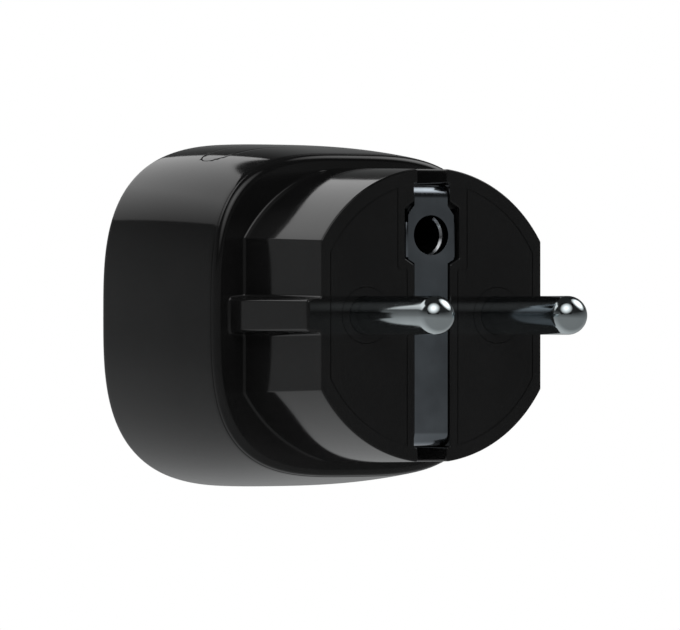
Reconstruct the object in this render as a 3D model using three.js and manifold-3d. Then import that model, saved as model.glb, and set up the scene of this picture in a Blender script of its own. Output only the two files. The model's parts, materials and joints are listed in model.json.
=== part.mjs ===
// A compact smart plug for CEE 7 wall outlets: a hollow housing with a plug boss and two pins behind,
// a child-safe socket in front, and the relay, board and earth parts between them.
// Millimetres. +Y points into the wall outlet, +Z is up, and the origin is the centre of the plug's
// end face, between the two pins. Front is -Y.
import * as THREE from "three";
import { mergeVertices } from "three/addons/utils/BufferGeometryUtils.js";
import Module from "manifold-3d";

const wasm = await Module();
wasm.setup();

// ---- Driving dimensions ----

const PIN_SPACING = 19;
const PIN_RADIUS = 2.4;
const PIN_LENGTH = 19;
const PIN_X = PIN_SPACING / 2;
const PIN_TAIL_Y = -7.6;
const PIN_FLANGE = 3;
const PIN_STEM = 1.5;
const COLLAR_RADIUS = 3.47; // insulating collar round each pin

const FRONT_Y = -47; // plane of the front rim
const SEAM_Y = -20; // where the housing ends and the rear cover begins
const REST_Y = -19; // flat of the rear cover that lies on the outlet
const FRONT_HALF = 22.41; // half of the housing's width and height at the front
const SIDE_CURVE = 0.00245; // how the sides draw in towards the rear, per mm squared
const FRONT_EXPONENT = 3.055; // superellipse exponent of the outline at the front
const SEAM_EXPONENT = 3.26; // and at the seam
const FRONT_EDGE = 1.6; // radius of the front rim's outer edge
const FRONT_WALL = 1.6;
const CAVITY_HALF = 20.5; // half of the hollow in the housing, down to the socket floor
const SEAM_WALL = 1.2;

const BOSS_RADIUS = 18.4; // plug boss at its end face
const BOSS_DRAFT = 0.5; // how much larger it is at its base
const BOSS_FLAT = 15.9; // flats left and right
const FLAT_DRAFT = 0.3;
const BOSS_EDGE = 0.4;
const RIB_REACH = 17.9; // guide ribs on the flats
const RIB_HALF = 2.25;
const RIB_ROOT_HALF = 2.7;
const END_WALL = 1.8; // thickness of the boss's end wall
const BOSS_BORE = 16.6; // hollow inside the boss
const BOSS_BORE_FLAT = 14.1;

const SOCKET_RADIUS = 19.5; // recess that an appliance plug fills
const SOCKET_FLAT = 17.1;
const SOCKET_GROOVE = 18.8;
const SOCKET_GROOVE_HALF = 3.1;
const SOCKET_DEPTH = 17.5;
const FLOOR_Y = FRONT_Y + SOCKET_DEPTH;
const FLOOR_THICKNESS = 1.6;
const FLOOR_BACK_Y = FLOOR_Y + FLOOR_THICKNESS;
const CUP_RADIUS = 20.25;
const CUP_TOP_Y = FRONT_Y + 3.4; // the cup's wall starts under the light ring
const CONTACT_HOLE = 3;
const SHUTTER_ROOM = 13.9; // radius of the space behind the floor where the shutter turns
const HUB_RADIUS = 1.35;
const EAR_RADIUS = 1.35;
const CLIP_SLOT_Z = [17.1, 18.2];
const SLEEVE_INNER = 2.5; // brass sleeves that grip an appliance plug's pins
const SLEEVE_OUTER = 3.1;
const SLEEVE_FRONT_Y = -25;
const SLEEVE_REAR_Y = -10.4;

const GAP = 0.3; // between neighbouring pieces inside
const SEAM = 0.12; // between pieces that meet in a visible line

const STRAP_WIDTH = 4.8; // earth strap round the boss
const STRAP_THICKNESS = 0.5;
const STRAP_REACH = 16.3; // outer surface of the strap, top and bottom
const STRAP_LENGTH = 14; // along the boss's sides
const STRAP_SET = 0.35; // how far it lies below the end face
const EARTH_Z = 10; // hole for an outlet's earth pin
const EARTH_HOLE = 2.5;
const WIDE_HALF = 3.75; // the strap round that hole
const FLANGE_Z = [7.2, 11.5]; // its folded sides
const TUBE_INNER = 2.6; // slotted tube that grips the earth pin
const TUBE_OUTER = 3.1;
const TUBE_END_Y = -16.5;

const BUTTON_Y = -32.7;
const BUTTON_LENGTH = 29;
const BUTTON_WIDTH = 5.6;
const BUTTON_THICKNESS = 0.85;
const BUTTON_SIDE_X = 12.7; // the button's legs and the switch below one of them
const BUTTON_TRAVEL = 0.3;
const BUTTON_LEG_HALF = 0.9;
const BUTTON_LEG_FOOT = 16.85; // height of the legs' lower ends
const PLUNGER_Y = -25.5;
const SWITCH_HOLE_FLOOR = 14.9;
const SWITCH_TOP = 16.1;

const BOARD_Y = -24.2; // front face of the circuit board
const BOARD_THICKNESS = 1.2;
const BOARD_BACK_Y = BOARD_Y + BOARD_THICKNESS;
const BOARD_HALF = 19.4;
const BOARD_SCREWS = [
  [15, -9.5],
  [-15, 9.5],
];

const RELAY_HALF_X = 5.1;
const RELAY_Z = [-12.2, 6.2];
const RELAY_HEIGHT = 15.3;
const RELAY_WALL = 0.5;
const RELAY_Y = BOARD_BACK_Y + GAP;
const RELAY_TOP_Y = RELAY_Y + RELAY_HEIGHT;
const ARMATURE_Y = -10.4; // hinge line of the relay's armature
const ARMATURE_Z = -10.9;

const CORNER_RADIUS = 21.6; // distance of the four corner screws from the centre line
const LIGHT_LEG_ANGLE = THREE.MathUtils.degToRad(33);

const OUTLINE_STEPS = 64;
const ROUND_STEPS = 28;
const SMALL_STEPS = 16;

// ---- Materials ----

function material(color, roughness, metalness) {
  return new THREE.MeshStandardMaterial({ color, roughness, metalness });
}

const finish = {
  housing: material(0x101113, 0.22, 0),
  cover: material(0x0e0f11, 0.3, 0),
  socket: material(0x131416, 0.35, 0),
  light: material(0xe8ecef, 0.35, 0),
  nickel: material(0xb9bcc0, 0.18, 1),
  steel: material(0x9aa2ad, 0.32, 1),
  spring: material(0x8d9298, 0.35, 1),
  brass: material(0xc9a457, 0.35, 1),
  copper: material(0xb8643a, 0.4, 1),
  iron: material(0x6c6f73, 0.5, 1),
  board: material(0x1d5a34, 0.55, 0),
  relay: material(0x1f4f8f, 0.45, 0),
  insulator: material(0xd9d4c6, 0.6, 0),
  shutter: material(0x26272a, 0.5, 0),
  capacitor: material(0x23252b, 0.4, 0),
  ceramic: material(0x2f6fb0, 0.5, 0),
  chip: material(0x17181a, 0.6, 0),
  ferrite: material(0x3a3b3d, 0.7, 0),
  lamp: material(0xf4f1dc, 0.3, 0),
};

// ---- Solids ----

function solid(geometry) {
  const bare = geometry.index ? geometry.toNonIndexed() : geometry.clone();
  bare.deleteAttribute("normal");
  bare.deleteAttribute("uv");
  const merged = mergeVertices(bare, 1e-4);
  const corners = new Uint32Array(merged.index.array);
  const build = () =>
    new wasm.Manifold(
      new wasm.Mesh({
        numProp: 3,
        vertProperties: merged.attributes.position.array,
        triVerts: corners,
      }),
    );
  const made = build();
  if (made.volume() >= 0) return made;
  for (let i = 0; i < corners.length; i += 3) corners.subarray(i, i + 3).reverse();
  return build();
}

function join(...solids) {
  return solids.reduce((sum, next) => sum.add(next));
}

function geometryOf(manifold) {
  const mesh = manifold.getMesh();
  const stride = mesh.numProp;
  const positions = new Float32Array(mesh.numVert * 3);
  for (let i = 0; i < mesh.numVert; i++) {
    positions.set(mesh.vertProperties.subarray(i * stride, i * stride + 3), i * 3);
  }
  const geometry = new THREE.BufferGeometry();
  geometry.setAttribute("position", new THREE.BufferAttribute(positions, 3));
  geometry.setIndex(new THREE.BufferAttribute(mesh.triVerts, 1));
  geometry.computeVertexNormals();
  return geometry;
}

function box(low, high) {
  const size = high.map((value, axis) => value - low[axis]);
  const middle = high.map((value, axis) => (value + low[axis]) / 2);
  return solid(new THREE.BoxGeometry(...size).translate(...middle));
}

// A rod along Y, at (x, z).
function rod(radius, [x, z], yLow, yHigh, steps = ROUND_STEPS) {
  const geometry = new THREE.CylinderGeometry(radius, radius, yHigh - yLow, steps);
  return solid(geometry.translate(x, (yLow + yHigh) / 2, z));
}

// A rod along Z, at (x, y).
function upright(radius, [x, y], zLow, zHigh, steps = SMALL_STEPS) {
  const geometry = new THREE.CylinderGeometry(radius, radius, zHigh - zLow, steps);
  return solid(geometry.rotateX(Math.PI / 2).translate(x, y, (zLow + zHigh) / 2));
}

// A body of revolution about the Y axis, from [radius, y] points.
function revolve(points, steps = ROUND_STEPS) {
  const profile = points.map(([radius, y]) => new THREE.Vector2(radius, y));
  return solid(new THREE.LatheGeometry(profile, steps));
}

function outlineOf(points) {
  return new THREE.Shape(points.map(([u, v]) => new THREE.Vector2(u, v)));
}

// Extrudes a shape drawn in (X, Z) along Y.
function extrudeAlongY(shape, yLow, yHigh) {
  const geometry = new THREE.ExtrudeGeometry(shape, {
    depth: yHigh - yLow,
    bevelEnabled: false,
    curveSegments: SMALL_STEPS,
  });
  return solid(geometry.rotateX(Math.PI / 2).translate(0, yHigh, 0));
}

// Extrudes a shape drawn in (Y, Z) along X, as wide as stated and centred.
function extrudeAlongX(shape, width) {
  const geometry = new THREE.ExtrudeGeometry(shape, { depth: width, bevelEnabled: false });
  const turn = new THREE.Matrix4().makeBasis(
    new THREE.Vector3(0, 1, 0),
    new THREE.Vector3(0, 0, 1),
    new THREE.Vector3(1, 0, 0),
  );
  return solid(geometry.applyMatrix4(turn).translate(-width / 2, 0, 0));
}

// Joins rings of equally many points into one closed body with flat ends.
function loft(rings) {
  const count = rings[0].length;
  const positions = rings.flat(2);
  const index = [];
  for (let ring = 0; ring + 1 < rings.length; ring++) {
    for (let i = 0; i < count; i++) {
      const here = ring * count + i;
      const next = ring * count + ((i + 1) % count);
      index.push(here, next, here + count, next, next + count, here + count);
    }
  }
  const lastRing = (rings.length - 1) * count;
  for (let i = 1; i + 1 < count; i++) {
    index.push(0, i + 1, i);
    index.push(lastRing, lastRing + i, lastRing + i + 1);
  }
  const geometry = new THREE.BufferGeometry();
  geometry.setAttribute("position", new THREE.Float32BufferAttribute(positions, 3));
  geometry.setIndex(index);
  return solid(geometry);
}

// One ring of the housing's outline: a superellipse in the plane y.
function squircle(y, half, exponent) {
  return Array.from({ length: OUTLINE_STEPS }, (_, step) => {
    const angle = (step / OUTLINE_STEPS) * 2 * Math.PI;
    const x = Math.cos(angle);
    const z = Math.sin(angle);
    const reach = (Math.abs(x) ** exponent + Math.abs(z) ** exponent) ** (-1 / exponent);
    return [half * reach * x, y, half * reach * z];
  });
}

function halfAt(y) {
  return FRONT_HALF - SIDE_CURVE * (y - FRONT_Y) ** 2;
}

function exponentAt(y) {
  const share = (y - FRONT_Y) / (SEAM_Y - FRONT_Y);
  return THREE.MathUtils.lerp(FRONT_EXPONENT, SEAM_EXPONENT, share);
}

// A strip of sheet metal bent along a path of (Y, Z) points, standing for its centre line.
function bentStrip(path, thickness, width) {
  const middle = path.map(([y, z]) => new THREE.Vector2(y, z));
  const side = (sign) =>
    middle.map((point, i) => {
      const before = middle[Math.max(i - 1, 0)];
      const after = middle[Math.min(i + 1, middle.length - 1)];
      const into = point.clone().sub(before).normalize();
      const out = after.clone().sub(point).normalize();
      const along = into.add(out).normalize();
      const reference = (i === 0 ? out : point.clone().sub(before)).clone().normalize();
      const stretch = (sign * thickness) / 2 / Math.max(along.dot(reference), 0.5);
      return new THREE.Vector2(point.x - along.y * stretch, point.y + along.x * stretch);
    });
  return extrudeAlongX(new THREE.Shape([...side(1), ...side(-1).reverse()]), width);
}

function polar(radius, angle) {
  return [radius * Math.cos(angle), radius * Math.sin(angle)];
}

// Places on the four diagonals, at a distance from the centre line.
function onDiagonals(radius) {
  return [45, 135, 225, 315].map((degrees) => polar(radius, THREE.MathUtils.degToRad(degrees)));
}

const cornerPlaces = onDiagonals(CORNER_RADIUS);

// ---- Housing ----

function housingBlock(lowered = 0) {
  const edge = [0, 1, 2, 3].map((step) => {
    const angle = (step / 4) * (Math.PI / 2);
    const y = FRONT_Y + FRONT_EDGE * (1 - Math.cos(angle));
    return [y, FRONT_EDGE * (1 - Math.sin(angle))];
  });
  const sides = [0, 1, 2, 3, 4].map((step) => {
    const y = THREE.MathUtils.lerp(FRONT_Y + FRONT_EDGE, SEAM_Y, step / 4);
    return [y, 0];
  });
  const rings = [...edge, ...sides].map(([y, inset]) =>
    squircle(y, halfAt(y) - inset, exponentAt(y)).map(([x, , z]) => [x, y, z - lowered]),
  );
  return loft(rings);
}

function buttonPrism(spare) {
  const half = BUTTON_WIDTH / 2 + spare;
  const straight = (BUTTON_LENGTH - BUTTON_WIDTH) / 2;
  const shape = new THREE.Shape();
  shape.absarc(straight, BUTTON_Y, half, -Math.PI / 2, Math.PI / 2);
  shape.absarc(-straight, BUTTON_Y, half, Math.PI / 2, (3 * Math.PI) / 2);
  const low = 17.2;
  const geometry = new THREE.ExtrudeGeometry(shape, {
    depth: FRONT_HALF + 2 - low,
    bevelEnabled: false,
    curveSegments: 8,
  });
  return solid(geometry.translate(0, 0, low));
}

function frontShell() {
  const cavity = loft([
    squircle(FRONT_Y + FRONT_WALL, CAVITY_HALF, FRONT_EXPONENT),
    squircle(FLOOR_BACK_Y + GAP, CAVITY_HALF, exponentAt(FLOOR_BACK_Y)),
    squircle(SEAM_Y, halfAt(SEAM_Y) - SEAM_WALL, SEAM_EXPONENT),
    squircle(SEAM_Y + 1, halfAt(SEAM_Y) - SEAM_WALL, SEAM_EXPONENT),
  ]);
  const posts = cornerPlaces.map((place) =>
    rod(1.6, place, FRONT_Y + FRONT_WALL - 0.2, FLOOR_Y - GAP, SMALL_STEPS),
  );
  const screwHoles = cornerPlaces.map((place) => rod(0.75, place, -36, FLOOR_Y, 8));
  const mouth = rod(CUP_RADIUS + 0.2, [0, 0], FRONT_Y - 1, FLOOR_Y, OUTLINE_STEPS);
  return housingBlock()
    .subtract(cavity)
    .add(join(...posts).intersect(housingBlock()))
    .subtract(mouth)
    .subtract(join(...screwHoles))
    .subtract(buttonPrism(SEAM));
}

// ---- Function button and its switch ----

function functionButton() {
  const cap = buttonPrism(0).intersect(housingBlock()).subtract(housingBlock(BUTTON_THICKNESS));
  const legHalfY = 1.5;
  const legTop = 19.8;
  const leg = (x) =>
    box(
      [x - BUTTON_LEG_HALF, BUTTON_Y - legHalfY, BUTTON_LEG_FOOT],
      [x + BUTTON_LEG_HALF, BUTTON_Y + legHalfY, legTop],
    );
  const arm = box(
    [BUTTON_SIDE_X - BUTTON_LEG_HALF, BUTTON_Y - legHalfY, BUTTON_LEG_FOOT],
    [BUTTON_SIDE_X + BUTTON_LEG_HALF, PLUNGER_Y + GAP, BUTTON_LEG_FOOT + 1.1],
  );
  const legs = join(leg(BUTTON_SIDE_X), leg(-BUTTON_SIDE_X)).subtract(aboveCap());
  return join(cap, legs, arm);
}

// Everything above the middle of the button's wall, so that its legs end inside it.
function aboveCap() {
  const block = box([-20, BUTTON_Y - 4, 12], [20, BUTTON_Y + 4, 26]);
  return block.subtract(housingBlock(BUTTON_THICKNESS / 2));
}

const SWITCH_Y = [BOARD_Y - GAP - 2.1, BOARD_Y - GAP];

function switchBody() {
  const body = box(
    [BUTTON_SIDE_X - 1.75, SWITCH_Y[0], 13.4],
    [BUTTON_SIDE_X + 1.75, SWITCH_Y[1], SWITCH_TOP],
  );
  const hole = upright(0.75, [BUTTON_SIDE_X, PLUNGER_Y], SWITCH_HOLE_FLOOR, SWITCH_TOP + 1);
  return body.subtract(hole);
}

function switchPlunger() {
  const foot = SWITCH_HOLE_FLOOR + BUTTON_TRAVEL + 0.1;
  return upright(0.6, [BUTTON_SIDE_X, PLUNGER_Y], foot, BUTTON_LEG_FOOT - 0.2);
}

// ---- Front socket ----

function socketCup() {
  const recess = rod(SOCKET_RADIUS, [0, 0], FRONT_Y - 2, FLOOR_Y, OUTLINE_STEPS)
    .intersect(box([-SOCKET_FLAT, FRONT_Y - 2, -25], [SOCKET_FLAT, FLOOR_Y, 25]))
    .add(
      box(
        [-SOCKET_GROOVE, FRONT_Y - 2, -SOCKET_GROOVE_HALF],
        [SOCKET_GROOVE, FLOOR_Y, SOCKET_GROOVE_HALF],
      ),
    );
  const wall = rod(CUP_RADIUS, [0, 0], CUP_TOP_Y, FLOOR_BACK_Y, OUTLINE_STEPS);
  const core = rod(SOCKET_RADIUS - 0.2, [0, 0], FRONT_Y + 0.4, CUP_TOP_Y + 1, OUTLINE_STEPS);
  const ears = [...cornerPlaces, ...onDiagonals(CUP_RADIUS)].map((place) =>
    rod(EAR_RADIUS, place, FLOOR_Y, FLOOR_BACK_Y, SMALL_STEPS),
  );
  const roomWall = 1;
  const shutterRoom = rod(SHUTTER_ROOM + roomWall, [0, 0], FLOOR_Y + 0.5, COVER_Y[1], 40).subtract(
    rod(SHUTTER_ROOM, [0, 0], FLOOR_BACK_Y, COVER_Y[1] + 1, 40),
  );
  const hub = rod(HUB_RADIUS, [0, 0], FLOOR_Y + 0.5, COVER_Y[0] - 0.2, SMALL_STEPS);
  const boardPosts = BOARD_SCREWS.map((place) =>
    rod(1.9, place, FLOOR_Y + 0.5, BOARD_Y - GAP, SMALL_STEPS),
  );
  const contactHoles = [-PIN_X, PIN_X].map((x) => rod(CONTACT_HOLE, [x, 0], FLOOR_Y - 1, -27));
  const clipSlots = [-1, 1].map((sign) => {
    const z = CLIP_SLOT_Z.map((height) => sign * height).sort((a, b) => a - b);
    return box([-2.9, FLOOR_Y - 1, z[0]], [2.9, FLOOR_BACK_Y + 1, z[1]]);
  });
  const earHoles = cornerPlaces.map((place) => rod(0.8, place, FLOOR_Y - 1, -27, 8));
  const postHoles = BOARD_SCREWS.map((place) => rod(0.7, place, FLOOR_BACK_Y + 0.4, -24, 8));
  return join(wall, core, ...ears)
    .subtract(recess)
    .add(join(shutterRoom, hub, ...boardPosts))
    .subtract(join(...contactHoles, ...clipSlots, ...earHoles, ...postHoles));
}

function lightRing() {
  const ring = revolve(
    [
      [SOCKET_RADIUS, FRONT_Y + 0.1],
      [CUP_RADIUS, FRONT_Y + 0.1],
      [CUP_RADIUS, CUP_TOP_Y - 0.2],
      [SOCKET_RADIUS, CUP_TOP_Y - 0.2],
      [SOCKET_RADIUS, FRONT_Y + 0.1],
    ],
    OUTLINE_STEPS,
  );
  const half = 0.7;
  const outer = 22.15;
  const underRim = FRONT_Y + FRONT_WALL + GAP;
  const leg = () =>
    join(
      box([SOCKET_RADIUS + 0.4, underRim, -half], [outer, CUP_TOP_Y - GAP, half]),
      box([CUP_RADIUS + 0.4, underRim, -half], [outer, -27.2, half]),
      box([SOCKET_RADIUS + 0.4, -27.5, -half], [outer, -25.6, half]),
    );
  const turned = [0, Math.PI].map((halfTurn) => {
    const geometry = geometryOf(leg());
    return solid(geometry.rotateY(-(LIGHT_LEG_ANGLE + halfTurn)));
  });
  return join(ring, ...turned);
}

const SHUTTER_Y = [FLOOR_BACK_Y + GAP, FLOOR_BACK_Y + 1];
const COVER_Y = [-26, -25.3];

function safetyShutter() {
  const blades = [-PIN_X, PIN_X].map((x) => rod(3.6, [x, 0], ...SHUTTER_Y));
  const bar = box([-PIN_X, SHUTTER_Y[0], -2], [PIN_X, SHUTTER_Y[1], 2]);
  const hub = rod(3.4, [0, 0], ...SHUTTER_Y);
  const bore = rod(HUB_RADIUS + 0.15, [0, 0], -30, -20, SMALL_STEPS);
  return join(...blades, bar, hub).subtract(bore);
}

function shutterCover() {
  const plate = rod(SHUTTER_ROOM - 0.2, [0, 0], ...COVER_Y, 40);
  return plate.subtract(join(...[-PIN_X, PIN_X].map((x) => rod(CONTACT_HOLE, [x, 0], -30, -20))));
}

// A flat spiral spring in the plane between the shutter and its cover.
class SpiralCurve extends THREE.Curve {
  getPoint(share, target = new THREE.Vector3()) {
    const turns = 1.6;
    const angle = share * turns * 2 * Math.PI;
    const radius = THREE.MathUtils.lerp(1.9, 3.2, share);
    return target.set(radius * Math.cos(angle), 0, radius * Math.sin(angle));
  }
}

function shutterSpring() {
  const wire = new THREE.Shape();
  wire.absarc(0, 0, 0.16, 0, 2 * Math.PI);
  const geometry = new THREE.ExtrudeGeometry(wire, {
    steps: 36,
    extrudePath: new SpiralCurve(),
    curveSegments: 3,
  });
  return solid(geometry);
}

function socketEarthSpring() {
  const arm = [
    [-44.7, 18.4],
    [-43.2, 17.6],
    [-40.5, 16.6],
    [-38.5, 16.3],
    [-36.5, 16.5],
    [-33.6, 17.4],
    [-32.4, 17.65],
    [-24.72, 17.65],
  ];
  const mirrored = arm.map(([y, z]) => [y, -z]).reverse();
  return bentStrip([...arm, ...mirrored], 0.45, 4.8);
}

function contactSleeve() {
  const flange = SLEEVE_OUTER + 1;
  const tube = revolve([
    [SLEEVE_INNER, SLEEVE_FRONT_Y],
    [SLEEVE_OUTER, SLEEVE_FRONT_Y],
    [SLEEVE_OUTER, BOARD_BACK_Y + GAP],
    [flange, BOARD_BACK_Y + GAP],
    [flange, BOARD_BACK_Y + 0.8],
    [SLEEVE_OUTER, BOARD_BACK_Y + 0.8],
    [SLEEVE_OUTER, SLEEVE_REAR_Y],
    [SLEEVE_INNER, SLEEVE_REAR_Y],
    [SLEEVE_INNER, SLEEVE_FRONT_Y],
  ]);
  const slot = box([-5, -20, -0.4], [5, -9, 0.4]);
  return tube.subtract(slot);
}

// ---- Plug side ----

function plugPin() {
  const tip = [0, 1, 2, 3, 4, 5].map((step) => {
    const angle = (step / 5) * (Math.PI / 2);
    const y = PIN_LENGTH - PIN_RADIUS * (1 - Math.sin(angle));
    return [step === 5 ? 0 : PIN_RADIUS * Math.cos(angle), y];
  });
  const flangeY = -END_WALL - GAP;
  return revolve([
    [0, PIN_TAIL_Y],
    [PIN_STEM, PIN_TAIL_Y],
    [PIN_STEM, flangeY - 1.1],
    [PIN_FLANGE, flangeY - 1.1],
    [PIN_FLANGE, flangeY],
    [PIN_RADIUS, flangeY],
    ...tip,
  ]);
}

function pinCollar() {
  const inner = PIN_RADIUS + 0.1;
  return revolve([
    [inner, -END_WALL + 0.1],
    [COLLAR_RADIUS, -END_WALL + 0.1],
    [COLLAR_RADIUS, 0],
    [inner, 0],
    [inner, -END_WALL + 0.1],
  ]);
}

function pinCarrier() {
  const plate = box([-13.6, -6.5, -3.6], [13.6, -3.5, 3.6]);
  return plate.subtract(join(...[-PIN_X, PIN_X].map((x) => rod(PIN_STEM + 0.15, [x, 0], -8, -2))));
}

function powerLink() {
  const hole = rod(PIN_STEM + 0.15, [0, 0], -8, -6);
  const lug = box([-2, -7.3, -4.1], [2, -6.8, 2.4]).subtract(hole);
  const leg = box([-1.5, BOARD_BACK_Y + 1.1, -4.1], [1.5, -6.8, -3.6]);
  return join(lug, leg);
}

// The widened part of the earth strap round the earth pin's hole, grown by spare on every side.
function wideStrap(spare) {
  const narrow = STRAP_WIDTH / 2 + spare;
  const wide = WIDE_HALF + spare;
  const right = [
    [narrow, 6.5 - spare],
    [wide, 7.2 - spare],
    [wide, 13.3 + spare],
    [narrow, 14 + spare],
  ];
  return outlineOf([...right, ...right.map(([x, z]) => [-x, z]).reverse()]);
}

function flangeBoxes(spare, yLow, yHigh) {
  return [-1, 1].map((sign) => {
    const inner = WIDE_HALF - STRAP_THICKNESS - spare;
    const x = [sign * inner, sign * (WIDE_HALF + spare)].sort((a, b) => a - b);
    return box([x[0], yLow, FLANGE_Z[0] - spare], [x[1], yHigh, FLANGE_Z[1] + spare]);
  });
}

// The strap's bent strip, across the end face and back along both sides, grown by spare.
function strapStrip(spare) {
  const faceY = -STRAP_SET - STRAP_THICKNESS / 2;
  const sideZ = STRAP_REACH - STRAP_THICKNESS / 2;
  const upper = [
    [-STRAP_LENGTH, sideZ],
    [faceY - 1.1, sideZ],
    [faceY - 0.35, sideZ - 0.3],
    [faceY, sideZ - 1.1],
  ];
  const lower = upper.map(([y, z]) => [y, -z]).reverse();
  return bentStrip([...upper, ...lower], STRAP_THICKNESS + 2 * spare, STRAP_WIDTH + 2 * spare);
}

function earthStrap() {
  const strip = strapStrip(0);
  const plate = extrudeAlongY(wideStrap(0), -STRAP_SET - STRAP_THICKNESS, -STRAP_SET);
  const flanges = flangeBoxes(0, -2.9, -STRAP_SET - 0.1);
  return join(strip, plate, ...flanges).subtract(rod(EARTH_HOLE, [0, EARTH_Z], -5, 2));
}

function earthPinSocket() {
  const tube = revolve([
    [TUBE_INNER, TUBE_END_Y],
    [TUBE_OUTER, TUBE_END_Y],
    [TUBE_OUTER, -1.1],
    [TUBE_INNER, -1.1],
    [TUBE_INNER, TUBE_END_Y],
  ]);
  return tube.subtract(box([-4, -12, -0.35], [4, 0, 0.35]));
}

function rearCover() {
  const plateHalf = halfAt(SEAM_Y) - 0.08;
  const edge = 0.85;
  const plate = loft(
    [0, 1, 2, 3, 4].map((step) => {
      const angle = (step / 4) * (Math.PI / 2);
      const inset = edge * (1 - Math.cos(angle));
      return squircle(REST_Y - edge * (1 - Math.sin(angle)), plateHalf - inset, SEAM_EXPONENT);
    }),
  );
  const skirt = loft([
    squircle(SEAM_Y - 1.6, halfAt(SEAM_Y) - SEAM_WALL - 0.2, SEAM_EXPONENT),
    squircle(REST_Y - 0.5, halfAt(SEAM_Y) - SEAM_WALL - 0.2, SEAM_EXPONENT),
  ]);
  const baseY = REST_Y - 0.4;
  const round = revolve(
    [
      [0, baseY],
      [BOSS_RADIUS + BOSS_DRAFT, baseY],
      [BOSS_RADIUS, -BOSS_EDGE],
      [BOSS_RADIUS - 0.3 * BOSS_EDGE, -0.3 * BOSS_EDGE],
      [BOSS_RADIUS - BOSS_EDGE, 0],
      [0, 0],
    ],
    72,
  );
  const slab = (y, half) => [
    [half, y, -25],
    [half, y, 25],
    [-half, y, 25],
    [-half, y, -25],
  ];
  const flats = loft([slab(baseY, BOSS_FLAT + FLAT_DRAFT), slab(0, BOSS_FLAT)]);
  const ribRing = (y, grow) => {
    const right = [
      [RIB_REACH + grow, y, -RIB_HALF],
      [RIB_REACH + grow, y, RIB_HALF],
      [BOSS_FLAT, y, RIB_ROOT_HALF],
    ];
    const left = [
      [-BOSS_FLAT, y, RIB_ROOT_HALF],
      [-RIB_REACH - grow, y, RIB_HALF],
      [-RIB_REACH - grow, y, -RIB_HALF],
      [-BOSS_FLAT, y, -RIB_ROOT_HALF],
    ];
    return [...right, ...left, [BOSS_FLAT, y, -RIB_ROOT_HALF]];
  };
  const ribs = loft([ribRing(baseY, FLAT_DRAFT + 0.2), ribRing(0, 0)]);

  const channelWall = [-1, 1].map((sign) => {
    const z = [sign * 14.3, sign * 25].sort((a, b) => a - b);
    return box([-3.8, -STRAP_LENGTH - 2.8, z[0]], [3.8, 1, z[1]]);
  });
  const hollow = rod(BOSS_BORE, [0, 0], -24, -END_WALL, OUTLINE_STEPS)
    .intersect(box([-BOSS_BORE_FLAT, -24, -25], [BOSS_BORE_FLAT, 0, 25]))
    .subtract(join(...channelWall));
  const underside = loft([
    squircle(SEAM_Y - 3, 17.9, SEAM_EXPONENT),
    squircle(REST_Y - 1.6, 17.9, SEAM_EXPONENT),
  ]);

  const strapHalf = STRAP_WIDTH / 2 + 0.2;
  const channelY = -STRAP_SET - STRAP_THICKNESS - 0.1;
  const lipZ = STRAP_REACH + 0.15;
  const faceChannel = box([-strapHalf, channelY, -lipZ], [strapHalf, 1, lipZ]);
  const sideChannels = [-1, 1].flatMap((sign) => {
    const inner = [sign * 15.6, sign * lipZ].sort((a, b) => a - b);
    const outer = [sign * (lipZ - 0.1), sign * 25].sort((a, b) => a - b);
    return [
      box([-strapHalf, -STRAP_LENGTH - 1, inner[0]], [strapHalf, 1, inner[1]]),
      box([-2.1, -STRAP_LENGTH - 1, outer[0]], [2.1, 1, outer[1]]),
    ];
  });
  const wideChannel = extrudeAlongY(wideStrap(0.2), channelY, 1);
  const pinHoles = [-PIN_X, PIN_X].map((x) => rod(COLLAR_RADIUS + SEAM, [x, 0], -4, 1));
  const cuts = join(
    faceChannel,
    strapStrip(0.15),
    ...sideChannels,
    wideChannel,
    ...flangeBoxes(0.2, -4, 1),
    rod(3.3, [0, EARTH_Z], -4, 1),
    ...pinHoles,
  );
  return join(plate, skirt, round.intersect(flats), ribs)
    .subtract(join(hollow, underside))
    .subtract(cuts);
}

// ---- Electronics ----

function mainBoard() {
  const blank = loft([
    squircle(BOARD_Y, BOARD_HALF, SEAM_EXPONENT),
    squircle(BOARD_BACK_Y, BOARD_HALF, SEAM_EXPONENT),
  ]);
  const holes = [
    ...[-PIN_X, PIN_X].map((x) => rod(3.5, [x, 0], -26, -22)),
    ...BOARD_SCREWS.map((place) => rod(0.95, place, -26, -22, 8)),
    box([-2, -26, 12.9], [2, -22, 14.2]),
  ];
  return blank.subtract(join(...holes));
}

// A pan-head screw along Y with its head at the rear, its head's underside at the origin.
function screw(headRadius, headHeight, shankRadius, shankLength) {
  const body = revolve(
    [
      [0, -shankLength],
      [shankRadius, -shankLength + shankRadius],
      [shankRadius, 0],
      [headRadius, 0],
      [headRadius, headHeight * 0.6],
      [headRadius * 0.75, headHeight],
      [0, headHeight],
    ],
    SMALL_STEPS,
  );
  const reach = headRadius * 0.6;
  const half = headRadius * 0.14;
  const bottom = headHeight * 0.5;
  const cross = join(
    box([-reach, bottom, -half], [reach, headHeight + 1, half]),
    box([-half, bottom, -reach], [half, headHeight + 1, reach]),
  );
  return body.subtract(cross);
}

function relayCase() {
  const outer = box(
    [-RELAY_HALF_X, RELAY_Y, RELAY_Z[0]],
    [RELAY_HALF_X, RELAY_TOP_Y, RELAY_Z[1]],
  );
  const inner = box(
    [-RELAY_HALF_X + RELAY_WALL, RELAY_Y - 1, RELAY_Z[0] + RELAY_WALL],
    [RELAY_HALF_X - RELAY_WALL, RELAY_TOP_Y - RELAY_WALL, RELAY_Z[1] - RELAY_WALL],
  );
  return outer.subtract(inner);
}

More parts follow.
